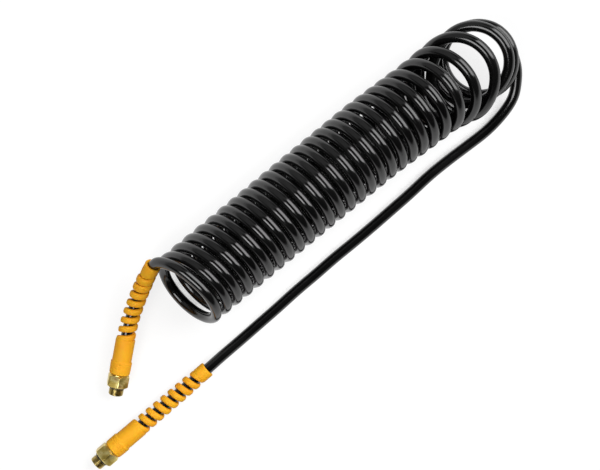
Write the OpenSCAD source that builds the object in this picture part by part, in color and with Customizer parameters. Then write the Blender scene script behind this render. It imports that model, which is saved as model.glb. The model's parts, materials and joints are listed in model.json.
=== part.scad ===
// Coiled air hose: a black polyamide recoil hose with a flex guard and a swivel stud at each end.
// It lies at rest on the floor (z = 0). The coil's axis runs along +X and both fittings point to -X.
// All sizes are in millimetres.

/* [Hose] */
// Outside diameter of the hose
hose_od = 12; // [10:0.5:12.5]
// Inside diameter of the hose
hose_id = 9; // [6:0.5:9.5]
// Radius of the coil, measured to the middle of the hose
coil_radius = 40; // [30:1:45]

/* [Swivel stud] */
// Width across the flats of the hexagon
hex_flats = 22; // [21:0.5:27]
// Length of the hexagon with its washer face
hex_length = 14; // [11:0.5:20]
// Diameter of the male thread
thread_diameter = 16; // [14:0.5:18]
// Length of the threaded end beyond the seal groove
thread_length = 7.7; // [5:0.1:15]
// Width of the groove between the hexagon and the thread
seal_groove = 2; // [1.6:0.1:3]
// Air way through the threaded end
stud_bore = 8; // [5:0.5:9]

/* [Hose nipple] */
// Air way through the nipple
nipple_bore = 5.6; // [4:0.2:6.4]
// Length of the barbed stem inside the hose
stem_length = 26; // [16:1:30]
// Number of barbs on the stem
barb_count = 5; // [3:1:7]

/* [Flex guard] */
// Length of the solid body, from the hexagon to the slot
body_length = 40; // [38:1:50]
// Diameter of the body
body_diameter = 20; // [19.5:0.25:22]
// Length of the raised grip band next to the hexagon
band_length = 14; // [10:0.5:20]
// Height of the grip band over the body
band_rise = 0.7; // [0.3:0.1:1.2]
// Length of the slotted stretch
flex_length = 83; // [60:1:95]
// Distance between neighbouring ribs
rib_pitch = 10.4; // [9.5:0.1:12]
// Width of a rib along the hose
rib_width = 6.8; // [5:0.1:7.5]
// Diameter over the ribs next to the body
rib_diameter = 19.5; // [18.5:0.25:21]
// Length of the collar at the hose end
collar_length = 13; // [8:0.5:14]
// Diameter of the collar
collar_diameter = 16.8; // [16:0.2:18.4]

/* [Ferrule] */
// Wall of the crimped ferrule
ferrule_wall = 2; // [1:0.1:2.2]
// Number of crimp grooves round the ferrule
crimp_count = 4; // [2:1:6]

/* [Hidden] */
$fn = 48;

// Named clearances
hose_slip = 0.15;       // between the hose and the guard round it
press_slip = 0.03;      // between pieces that grip one another
swivel_slip = 0.06;     // between the pieces that turn in the stud
seal_slip = 0.02;       // round the rubber seals
guard_gap = 0.4;        // between the guard and the turning hexagon
edge = 0.6;             // usual chamfer on metal and moulded edges

hose_r = hose_od / 2;
bore_r = hose_id / 2;

// Where the rest pose lies, seen from above: the middle of its outline is the origin
rest_middle = [167.4, -22.7, 0];

// ---- Coil: turn t starts at the +Y side, and each turn goes over the top, then under

flat_cut = hose_od / 10;
axis_height = coil_radius + hose_r - flat_cut;
RINGS_PER_TURN = 16;
COIL_SIDES = 8;
FIRST_RING = 3;
LAST_RING = 377;
coil_front = 40.5;
// [turn, gap to the next turn]
TURN_GAPS = [[0, 3.3], [6, 2.2], [12, 2.1], [18, 1.8], [22, 4.7]];
// [turn, how far the +Y side of a turn lies behind its middle]
SIDE_LEAN = [[0, 5], [6, 2], [12, 0.5], [22, -1.5], [24, -3]];
// [turn, how far the top of a turn lies ahead of its middle]
TOP_LEAN = [[0, 20], [6, 12], [12, 10.5], [18, 12.5], [22, 15], [24, 22.5]];
// [turn, sideways place of the coil's axis]
DRIFT = [[0, -1], [12, 0], [18, 0], [24, -3.6]];

function total(v) = v * [for (x = v) 1];
function run_end(i, t) = i + 1 < len(TURN_GAPS) ? min(t, TURN_GAPS[i + 1][0]) : t;
function run_turns(i, t) = max(0, run_end(i, t) - TURN_GAPS[i][0]);
function advance(t) =
    coil_front + total([for (i = [0:len(TURN_GAPS) - 1]) (hose_od + TURN_GAPS[i][1]) * run_turns(i, t)]);
function coil_point(t) = [
    advance(t) - lookup(t, SIDE_LEAN) * cos(360 * t) + lookup(t, TOP_LEAN) * sin(360 * t),
    lookup(t, DRIFT) + coil_radius * cos(360 * t),
    axis_height + coil_radius * sin(360 * t)
];
function coil_turn(i) = (i + 0.5) / RINGS_PER_TURN;

// The last turns have fallen over on one another. Their rings follow on, one by one, from the wound ones.
LOOSE_FROM = 24;        // turn from which they are measured along the coil
LOOSE_RADIUS = 40;      // coil radius on which they were set out
// [along the coil, across, up]
LOOSE_TURNS = [
    [-24.6, -25.9, 13.9], [-26.7, -11.6, 10.2], [-24.7, 3.7, 9.9], [-19.2, 17.9, 15], [-11.3, 29.3, 24.9],
    [-1.9, 35.9, 37.9], [8.3, 36.4, 51.9], [17.9, 30.4, 64.6], [25.6, 18.7, 74], [29.9, 3.3, 78.3],
    [30.4, -13.3, 76.6], [26.9, -28.4, 68.9], [19.9, -39.6, 56.6], [10.6, -45.6, 42], [0.7, -45.6, 27.3],
    [-7.9, -39.4, 15.2], [-13.5, -28.1, 7.4], [-15, -13.5, 4.9], [-12.2, 2.4, 6.1], [-5.8, 17.1, 12.6],
    [3, 28.6, 23.7], [13.7, 35.5, 37.1], [26.1, 36.7, 50.2], [39.1, 32.5, 61.1], [50.3, 22.6, 68.6],
    [57.5, 8.2, 71.8], [59.5, -8.4, 70.4], [56, -24.4, 64.2], [47.7, -37.4, 54.1], [36.4, -46, 41.6],
    [24.6, -50, 28.2], [14.1, -48.2, 16.2], [5.7, -40.5, 8], [-0.1, -28.5, 5.1], [-2.4, -13.8, 7.6],
    [-0.5, 1.4, 14.9], [8.3, 15.4, 23.8], [22.4, 26.6, 33.1], [38.7, 33.3, 42.2], [54.8, 32.9, 50.4],
    [68.6, 25.7, 57], [78.3, 12.8, 60.9], [82.3, -3.3, 61.3], [80.1, -19.3, 57.6], [71.9, -32.4, 50.5],
    [58.7, -40.8, 40.6], [43, -43.6, 29.2], [28.3, -40.6, 18.3], [17.4, -31.9, 9.8], [11.3, -18.6, 5.2],
    [9.3, -2.5, 5.2], [11.7, 13, 9.3], [19.7, 25.1, 16.2], [32.7, 32.2, 24.3], [48.4, 34.1, 32.6],
    [64.3, 30.7, 40.2], [77.8, 22.4, 46.2], [86.7, 9.5, 49.5], [89.6, -6.1, 49.5], [86.4, -21.8, 45.8],
    [78.1, -34.8, 38.7], [66.5, -42.7, 29], [53.4, -44.2, 18.8], [40.7, -39.3, 10.4], [30.1, -28.9, 5.7],
    [23.7, -15, 5.1], [22.7, 0.4, 5.5], [26.8, 15, 7.4], [35.6, 26.4, 11.6], [47.6, 32.7, 17.5],
    [61, 32.6, 24.3], [73.7, 26.6, 30.4], [83.5, 15.7, 34.5], [88.8, 1.5, 35.7], [89.5, -14.1, 33.6],
    [86.5, -29.2, 29.1], [80.8, -42.1, 23.9], [72.2, -51.9, 18.8]
];
function loose_point(v) = [
    advance(LOOSE_FROM) + v.x,
    v.y * coil_radius / LOOSE_RADIUS,
    v.z * coil_radius / LOOSE_RADIUS
];

// ---- Sweeps: a closed section carried along a list of points

function unit(v) = v / norm(v);
function square_to(n, t) = unit(n - (n * t) * t);
function tangents(p) = [
    for (i = [0:len(p) - 1]) unit(p[min(i + 1, len(p) - 1)] - p[max(i - 1, 0)])
];
// One normal for each tangent, carried along without twist from a start that points up
function next_normal(v, t, i) = i < len(t) ? square_to(v, t[i]) : v;
function carried(t) = [
    for (i = 0, v = square_to([0, 0, 1], t[0]); i < len(t); i = i + 1, v = next_normal(v, t, i)) v
];
function ring(c, t, n, r, sides) = [
    for (k = [0:sides - 1])
        let (a = 360 * (k + 0.5) / sides)
        c + r * (cos(a) * n + sin(a) * cross(t, n))
];
function above_floor(v) = [v.x, v.y, max(0, v.z)];
// Triangles of a swept skin with both ends closed
function skin_faces(rings, sides) = concat(
    [for (i = [0:rings - 2]) for (k = [0:sides - 1])
        [i * sides + k, (i + 1) * sides + k, i * sides + (k + 1) % sides]],
    [for (i = [0:rings - 2]) for (k = [0:sides - 1])
        [(i + 1) * sides + k, (i + 1) * sides + (k + 1) % sides, i * sides + (k + 1) % sides]],
    [for (k = [1:sides - 2]) [0, k, k + 1]],
    [for (k = [1:sides - 2]) let (e = (rings - 1) * sides) [e, e + k + 1, e + k]]
);
module skin(rings) {
    sides = len(rings[0]);
    polyhedron(points = [for (r = rings) for (v = r) v], faces = skin_faces(len(rings), sides));
}

// ---- Coil rings

COIL_MIDDLE = concat(
    [for (i = [FIRST_RING:LAST_RING]) coil_point(coil_turn(i))],
    [for (v = LOOSE_TURNS) loose_point(v)]
);
coil_last = len(COIL_MIDDLE) - 1;
coil_front_way = unit(COIL_MIDDLE[1] - COIL_MIDDLE[0]);
coil_rear_way = unit(COIL_MIDDLE[coil_last] - COIL_MIDDLE[coil_last - 1]);
coil_start = COIL_MIDDLE[0] - hose_od * coil_front_way;
coil_end = COIL_MIDDLE[coil_last] + hose_od * coil_rear_way;
COIL_LINE = concat([coil_start], COIL_MIDDLE, [coil_end]);
// Radius of an eight-sided section as full as the round hose
coil_ring_r = hose_r * sqrt(2 * PI / (COIL_SIDES * sin(360 / COIL_SIDES)));
COIL_TANGENTS = concat(
    [coil_front_way, coil_front_way],
    [for (i = [2:coil_last]) unit(COIL_LINE[i + 1] - COIL_LINE[i - 1])],
    [coil_rear_way, coil_rear_way]
);
function coil_outward(i) =
    let (t = coil_turn(FIRST_RING + min(max(i - 1, 0), coil_last)))
    square_to([0, cos(360 * t), sin(360 * t)], COIL_TANGENTS[i]);
COIL_RINGS = [
    for (i = [0:len(COIL_LINE) - 1])
        let (section = ring(COIL_LINE[i], COIL_TANGENTS[i], coil_outward(i), coil_ring_r, COIL_SIDES))
            [for (v = section) above_floor(v)]
];

// Least gap between neighbouring turns, measured from ring to ring
TURN_CLEARANCES = [
    for (i = [0:coil_last])
        for (j = [i + RINGS_PER_TURN - 4:min(i + RINGS_PER_TURN + 4, coil_last)])
            norm(COIL_MIDDLE[i] - COIL_MIDDLE[j]) - hose_od
];

// ---- Fittings: each has an axis frame, +Z towards the thread, 0 where the hexagon starts

hex_corner = hex_flats / 2 / cos(30);
rear_roll = 9;          // how far the hexagon's lowest corner is turned from straight down
front_roll = 13;
rear_bearing = 181.3;   // compass way that the thread points, from +X
front_bearing = 219.5;
rear_dip = 0;           // how far the thread points below level
front_dip = 9;
rear_height = hex_corner * cos(rear_roll);
front_height = hex_corner * cos(front_roll) * cos(front_dip) + hex_length * sin(front_dip);
REAR_PLACE = [-127.5, -83.5, rear_height];
FRONT_PLACE = [-69, -24, front_height];
function way(bearing, dip) = [cos(dip) * cos(bearing), cos(dip) * sin(bearing), -sin(dip)];
REAR_WAY = way(rear_bearing, rear_dip);
FRONT_WAY = way(front_bearing, front_dip);

module at_fitting(place, bearing, dip) {
    translate(place) rotate([0, 90 + dip, bearing]) children();
}
module at_front() {
    at_fitting(FRONT_PLACE, front_bearing, front_dip) children();
}
module at_rear() {
    at_fitting(REAR_PLACE, rear_bearing, rear_dip) children();
}

// ---- Hose routes, from each fitting to the coil

guard_length = body_length + flex_length + collar_length;
// Free run of the front lead, with the bend of its guard
FRONT_ROUTE = [
    [-22, 13.5, 24], [-8, 22, 28.5], [6, 29.5, 34.5], [19, 35.5, 42], [27, 38.5, 48], [35, 41.5, 54],
    [43, 41.5, 63], [49.5, 36.5, 71.5], [53.5, 30.5, 77.5], [57.5, 24.5, 82.5]
];
// Free run of the rear lead along the floor and up to the coil
REAR_ROUTE = [
    [30, -79.5, 9.5], [54, -79, 7], [82, -78, 6], [110, -77, 6], [137, -75.5, 6], [165, -75, 6],
    [192, -74, 6], [219, -74, 6], [246, -73.5, 6], [274, -72.5, 6], [301, -71.5, 6], [329, -69.5, 6],
    [356, -69.5, 6], [383, -70.5, 6], [411, -71, 6], [425.9, -69.1, 7.6], [440.5, -65.9, 10.9]
];
function straight(place, thread_way, lengths) = [for (s = lengths) place - s * thread_way];
FRONT_LINE = concat(
    straight(FRONT_PLACE, FRONT_WAY, [0, body_length / 2, body_length]),
    FRONT_ROUTE, [coil_start]
);
REAR_LINE = concat(
    straight(REAR_PLACE, REAR_WAY, [0, body_length, body_length + flex_length, guard_length]),
    REAR_ROUTE, [coil_end]
);

// Smooth curve through a line's points, by the length run along it
function lengths_along(p) = [
    for (i = 0, s = 0; i < len(p); s = i + 1 < len(p) ? s + norm(p[i + 1] - p[i]) : s, i = i + 1) s
];
function stretch_of(s, runs, i = 0) = i >= len(runs) - 2 || runs[i + 1] > s ? i : stretch_of(s, runs, i + 1);
// Way of the curve at point i: its two chords, weighed by the lengths on either side
function knot_way(p, runs, i) =
    let (last = len(p) - 1, h0 = runs[i] - runs[max(i - 1, 0)], h1 = runs[min(i + 1, last)] - runs[i])
    i == 0 ? (p[1] - p[0]) / h1
    : i == last ? (p[last] - p[last - 1]) / h0
    : ((p[i] - p[i - 1]) * h1 / h0 + (p[i + 1] - p[i]) * h0 / h1) / (h0 + h1);
function on_line(p, runs, s) =
    let (i = stretch_of(s, runs), h = runs[i + 1] - runs[i], u = (s - runs[i]) / h)
    p[i] * (1 + 2 * u) * pow(1 - u, 2) + knot_way(p, runs, i) * h * u * pow(1 - u, 2)
    + p[i + 1] * (3 - 2 * u) * pow(u, 2) + knot_way(p, runs, i + 1) * h * (u - 1) * pow(u, 2);
function line_way(p, runs, s) = unit(on_line(p, runs, s + 1) - on_line(p, runs, s - 1));
FRONT_RUNS = lengths_along(FRONT_LINE);
REAR_RUNS = lengths_along(REAR_LINE);

// ---- Pieces of one fitting, from the hose to the thread

stem_root = -6;                         // where the stem leaves the nipple's shoulder
stem_tip = stem_root - stem_length;
stem_nose = 1.5;                        // plain nose of the stem, before the first barb
nose_taper = 0.9;
barb_depth = 0.55;
barb_back = 0.4;                        // length of a barb's steep side
hose_mouth = stem_root + press_slip;    // the hose is pushed up to the shoulder
ferrule_inner = hose_r + press_slip;
ferrule_outer = ferrule_inner + ferrule_wall;
lip = 1.6;                              // thickness of the ferrule's end lip
crimp_depth = 0.35;
crimp_margin = 3;       // plain ends of the ferrule, and how far it stops short of the stem's tip
neck_r = 4.9;
neck_end = stem_root + lip + 4 * press_slip;
shoulder_r = hose_r - press_slip;
flange_r = 7;
flange_thick = 2;
spigot_r = 5;
spigot_length = 8;
seal_section = 1.3;                     // thickness of the rubber of the swivel seal
seal_offset = 3.5;                      // from the spigot's root to its seal
washer_thick = 0.8;
snap_thick = 1;
snap_depth = 0.7;                       // depth of the snap ring's groove
snap_inset = 0.3;                       // how far the snap ring stays off the nipple's shoulder
snap_sweep = 325;
snap_start = 1;
flange_start = snap_start + snap_thick + 2 * swivel_slip;
washer_start = flange_start + flange_thick + swivel_slip;
spigot_start = flange_start + flange_thick;
pocket_end = washer_start + washer_thick + swivel_slip;
socket_end = spigot_start + spigot_length + 2 * swivel_slip;
pocket_r = flange_r + swivel_slip;
socket_r = spigot_r + swivel_slip;
seal_inner = socket_r - seal_slip * 2 - seal_section;
seal_start = spigot_start + seal_offset;
seal_groove_start = seal_start - seal_slip;
seal_groove_end = seal_start + seal_section + seal_slip;
spigot_end = spigot_start + spigot_length;
snap_from = snap_start + swivel_slip;
snap_to = snap_start + snap_thick;
snap_inner = shoulder_r + snap_inset;
snap_outer = pocket_r + snap_depth - swivel_slip;
thread_start = hex_length + seal_groove;
thread_end = thread_start + thread_length;
thread_r = thread_diameter / 2;
thread_chamfer = 1;
port_seal_section = seal_groove - 2 * seal_slip;
undercut_depth = 1.2;
undercut_r = thread_r - undercut_depth;
washer_face = 0.8;                      // thickness of the round face next to the guard
washer_face_r = hex_flats / 2 - 0.7;
corner_cut = 1.15 * (hex_corner - hex_flats / 2);   // how far the chamfer reaches in from the corners
back_chamfer = 0.6 * corner_cut;
front_chamfer = 0.75 * corner_cut;

// Ring of rectangular section between two radii
module band(inner, outer, from, to) {
    rotate_extrude()
        polygon([[inner, from], [outer, from], [outer, to], [inner, to]]);
}

module nipple() {
    barb_pitch = (stem_length - stem_nose - barb_back) / barb_count;
    barb_ramp = 0.8 * barb_pitch;
    stem_r = bore_r - press_slip;
    barbs = [
        for (i = [0:barb_count - 1])
            for (step = [[0, barb_depth], [barb_ramp, 0], [barb_ramp + barb_back, barb_depth]])
                [stem_r - step[1], stem_tip + stem_nose + i * barb_pitch + step[0]]
    ];
    profile = concat(
        [[nipple_bore / 2, stem_tip], [stem_r - nose_taper, stem_tip]],
        barbs,
        [
            [stem_r - barb_depth, stem_root], [neck_r, stem_root], [neck_r, neck_end], [shoulder_r, neck_end],
            [shoulder_r, flange_start], [flange_r, flange_start], [flange_r, spigot_start],
            [spigot_r, spigot_start], [spigot_r, seal_groove_start],
            [seal_inner - seal_slip, seal_groove_start],
            [seal_inner - seal_slip, seal_groove_end], [spigot_r, seal_groove_end],
            [spigot_r, spigot_end - edge], [spigot_r - edge, spigot_end], [nipple_bore / 2, spigot_end]
        ]
    );
    color([0.72, 0.62, 0.36]) rotate_extrude() polygon(profile);
}

module ferrule() {
    far = stem_tip + crimp_margin;
    near = stem_root + lip + 2 * press_slip;
    crimp_pitch = (near - far - 2 * crimp_margin) / crimp_count;
    color([0.75, 0.75, 0.72])
        difference() {
            rotate_extrude()
                polygon([
                    [ferrule_inner, far], [ferrule_outer - edge, far], [ferrule_outer, far + edge],
                    [ferrule_outer, near - edge], [ferrule_outer - edge, near],
                    [neck_r + press_slip, near], [neck_r + press_slip, stem_root + 2 * press_slip],
                    [ferrule_inner, stem_root + 2 * press_slip]
                ]);
            for (i = [0:crimp_count - 1])
                translate([0, 0, far + crimp_margin + (i + 1 / 4) * crimp_pitch])
                    band(ferrule_outer - crimp_depth, ferrule_outer + 1, 0, crimp_pitch / 2);
        }
}

module swivel_seal() {
    color([0.1, 0.1, 0.1])
        translate([0, 0, seal_start + seal_section / 2])
            rotate_extrude()
                translate([seal_inner + seal_section / 2, 0])
                    circle(d = seal_section);
}

module thrust_washer() {
    color([0.9, 0.9, 0.86])
        band(socket_r, pocket_r - swivel_slip, washer_start, washer_start + washer_thick);
}

module snap_ring() {
    color([0.35, 0.35, 0.38])
        rotate_extrude(angle = snap_sweep)
            polygon([
                [snap_inner, snap_from], [snap_outer, snap_from], [snap_outer, snap_to], [snap_inner, snap_to]
            ]);
}

module hex_stud(roll) {
    color([0.80, 0.70, 0.30])
        difference() {
            union() {
                cylinder(r = washer_face_r, h = washer_face);
                intersection() {
                    translate([0, 0, washer_face])
                        rotate([0, 0, roll])
                            cylinder(r = hex_corner, h = hex_length - washer_face, $fn = 6);
                    rotate_extrude()
                        polygon([
                            [0, washer_face], [hex_corner - corner_cut, washer_face],
                            [hex_corner, washer_face + back_chamfer],
                            [hex_corner, hex_length - front_chamfer],
                            [hex_corner - corner_cut, hex_length], [0, hex_length]
                        ]);
                }
                rotate_extrude()
                    polygon([
                        [0, hex_length], [undercut_r, hex_length], [undercut_r, thread_start],
                        [thread_r, thread_start], [thread_r, thread_end - thread_chamfer],
                        [thread_r - thread_chamfer, thread_end], [0, thread_end]
                    ]);
            }
            rotate_extrude()
                polygon([
                    [0, -1], [pocket_r, -1], [pocket_r, snap_start], [pocket_r + snap_depth, snap_start],
                    [pocket_r + snap_depth, snap_start + snap_thick + swivel_slip],
                    [pocket_r, snap_start + snap_thick + swivel_slip],
                    [pocket_r, pocket_end], [socket_r, pocket_end],
                    [socket_r, socket_end], [stud_bore / 2, socket_end], [stud_bore / 2, thread_end + 1],
                    [0, thread_end + 1]
                ]);
        }
}

module port_seal() {
    color([0.1, 0.1, 0.1])
        translate([0, 0, hex_length + seal_groove / 2])
            rotate_extrude()
                translate([undercut_r + seal_slip + port_seal_section / 2, 0])
                    circle(d = port_seal_section);
}

// ---- Flex guard: a moulded sleeve with a helical slot, so that one rib winds round the hose

guard_inner = hose_r + hose_slip;
body_r = body_diameter / 2;
collar_r = collar_diameter / 2;
RIB_RINGS = 18;
rib_start = body_length + rib_width / 2 - rib_pitch;
rib_end = body_length + flex_length - rib_width / 2 + rib_pitch;
rib_turns = (rib_end - rib_start) / rib_pitch;
rib_sink = 0.25;        // how far the end of the rib lies under the skin of the collar
rib_root = 0.5;         // how far the ends of the rib lie outside the bore of the sleeves
rib_narrowing = 0.45;   // how much smaller the rib's radius is at the hose end
ferrule_room = 1;       // room for the ferrule in the body, past the stem's tip
band_grooves = 3;       // shallow rings round the grip band
groove_pitch = 2;
groove_width = 0.7;
groove_depth = 0.3;
groove_taper = 0.12;    // how much deeper each ring reaches, as the band narrows
front_slot_phase = 65;
rear_slot_phase = 121;
guard_colour = [0.98, 0.70, 0.15];

// [distance from the hexagon, outer radius of the rib there]
RIB_OUTER = [
    [body_length, rib_diameter / 2],
    [body_length + flex_length - rib_pitch, rib_diameter / 2 - rib_narrowing],
    [body_length + flex_length, collar_r - rib_sink]
];
// [distance from the hexagon, inner radius of the rib there]: its ends lie inside the two sleeves
RIB_INNER = [
    [body_length - rib_width / 2, guard_inner + rib_root], [body_length + rib_width / 2, guard_inner],
    [body_length + flex_length - rib_width / 2, guard_inner],
    [body_length + flex_length + rib_width / 2, guard_inner + rib_root]
];
// One side of the rib's rounded section, as shares of its half width and its height
RIB_SHAPE = [[1, 0], [1, 0.55], [0.82, 0.87], [0.4, 1]];
// Section of the rib: [along the hose, out from the hose]
function rib_section(inner, outer) = concat(
    [for (v = RIB_SHAPE) [v[0] * rib_width / 2, inner + v[1] * (outer - inner)]],
    [for (i = [len(RIB_SHAPE) - 1:-1:0])
        let (v = RIB_SHAPE[i])
            [-v[0] * rib_width / 2, inner + v[1] * (outer - inner)]]
);
function rib_ring(p, runs, s, a) =
    let (t = line_way(p, runs, s), side = unit(cross([0, 0, 1], t)), up = cross(t, side),
        out = cos(a) * up - sin(a) * side, c = on_line(p, runs, s))
    [for (v = rib_section(lookup(s, RIB_INNER), lookup(s, RIB_OUTER))) c + v[0] * t + v[1] * out];
module rib(p, runs, phase) {
    steps = floor(rib_turns * RIB_RINGS);
    skin([
        for (i = [0:steps])
            let (share = i / steps)
                rib_ring(p, runs, rib_start + (rib_end - rib_start) * share, phase + 360 * rib_turns * share)
    ]);
}

// Solid sleeve next to the hexagon, in the fitting's frame (the hose side is -Z)
module guard_body() {
    sleeve_end = stem_tip - ferrule_room;
    band_end_r = body_r + band_rise / 2;
    difference() {
        rotate_extrude()
            polygon([
                [guard_inner, -body_length], [body_r - 2 * edge, -body_length],
                [body_r - edge / 2, -body_length + edge], [body_r, -body_length + 2 * edge],
                [body_r, -band_length - band_rise], [body_r + band_rise, -band_length],
                [band_end_r, -guard_gap - edge], [band_end_r - edge, -guard_gap], [guard_inner, -guard_gap]
            ]);
        translate([0, 0, sleeve_end])
            cylinder(r = ferrule_outer + press_slip, h = -sleeve_end);
        for (i = [1:band_grooves])
            translate([0, 0, -band_length + groove_pitch * i])
                let (groove_bottom = body_r + band_rise - groove_depth - groove_taper * i)
                    band(groove_bottom, body_r + 2 * band_rise, 0, groove_width);
    }
}

// Collar at the hose end: 0 at its inner end, +Z towards the open mouth
module guard_collar() {
    rotate_extrude()
        polygon([
            [guard_inner, 0], [collar_r - 2 * edge, 0], [collar_r - edge / 2, edge], [collar_r, 2 * edge],
            [collar_r, collar_length - edge], [collar_r - edge, collar_length],
            [guard_inner + edge, collar_length], [guard_inner, collar_length - edge]
        ]);
}

module flex_guard(place, bearing, dip, p, runs, phase) {
    mouth_way = line_way(p, runs, guard_length - collar_length / 2);
    color(guard_colour) {
        at_fitting(place, bearing, dip) guard_body();
        rib(p, runs, phase);
        translate(on_line(p, runs, guard_length - collar_length))
            rotate([0, acos(mouth_way.z), atan2(mouth_way.y, mouth_way.x)])
                guard_collar();
    }
}

// ---- Hose leads: hollow over the nipple, then solid along the route

LEAD_SIDES = 10;
lead_start = -stem_tip + ferrule_room;
lead_r = hose_r - press_slip;
lead_step = 0.6 * hose_od;
hose_colour = [0.06, 0.06, 0.06];

// The lead's last ring lies square on the face of the coil's end
module lead(place, bearing, dip, line, end_way) {
    last = len(line) - 1;
    chords = tangents(line);
    way_out = [for (i = [0:last]) i < last ? chords[i] : end_way];
    normals = carried(way_out);
    color(hose_colour) {
        at_fitting(place, bearing, dip) band(bore_r, hose_r, -lead_start, hose_mouth);
        skin([
            for (i = [0:last])
                [for (v = ring(line[i], way_out[i], normals[i], lead_r, LEAD_SIDES)) above_floor(v)]
        ]);
    }
}

FRONT_LEAD = concat(
    [on_line(FRONT_LINE, FRONT_RUNS, lead_start)],
    [for (s = [body_length:lead_step:guard_length]) on_line(FRONT_LINE, FRONT_RUNS, s)],
    [for (i = [0:len(FRONT_LINE) - 2]) if (FRONT_RUNS[i] > guard_length + edge) FRONT_LINE[i]],
    [coil_start]
);
REAR_LEAD = concat(
    [on_line(REAR_LINE, REAR_RUNS, lead_start)],
    [for (i = [1:len(REAR_LINE) - 1]) REAR_LINE[i]]
);

// ---- Nodes

module hose_coil() {
    color(hose_colour) skin(COIL_RINGS);
}
module hose_front_lead() {
    lead(FRONT_PLACE, front_bearing, front_dip, FRONT_LEAD, coil_front_way);
}
module hose_rear_lead() {
    lead(REAR_PLACE, rear_bearing, rear_dip, REAR_LEAD, -coil_rear_way);
}
module front_flex_guard() {
    flex_guard(FRONT_PLACE, front_bearing, front_dip, FRONT_LINE, FRONT_RUNS, front_slot_phase);
}
module rear_flex_guard() {
    flex_guard(REAR_PLACE, rear_bearing, rear_dip, REAR_LINE, REAR_RUNS, rear_slot_phase);
}
module draw() {
    translate(-rest_middle) children();
}

echo(least_gap_between_turns = min(TURN_CLEARANCES));
function run_of(p) = total([for (i = [0:len(p) - 2]) norm(p[i + 1] - p[i])]);
echo(coil_length = run_of(COIL_LINE));
lead_length = run_of(FRONT_LEAD) + run_of(REAR_LEAD) + 2 * (lead_start + hose_mouth);
echo(hose_length = run_of(COIL_LINE) + lead_length);

draw() hose_coil();
draw() hose_front_lead();
draw() hose_rear_lead();
draw() front_flex_guard();
draw() at_front() ferrule();  // front_ferrule
draw() at_front() nipple();  // front_nipple
draw() at_front() swivel_seal();  // front_swivel_seal
draw() at_front() thrust_washer();  // front_thrust_washer
draw() at_front() snap_ring();  // front_snap_ring
draw() at_front() hex_stud(-front_roll);  // front_hex_stud
draw() at_front() port_seal();  // front_port_seal
draw() rear_flex_guard();
draw() at_rear() ferrule();  // rear_ferrule
draw() at_rear() nipple();  // rear_nipple
draw() at_rear() swivel_seal();  // rear_swivel_seal
draw() at_rear() thrust_washer();  // rear_thrust_washer
draw() at_rear() snap_ring();  // rear_snap_ring
draw() at_rear() hex_stud(-rear_roll);  // rear_hex_stud
draw() at_rear() port_seal();  // rear_port_seal
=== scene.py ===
"""Coiled air hose: the hose, its flex guards, swivel studs and seals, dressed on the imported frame."""

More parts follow.
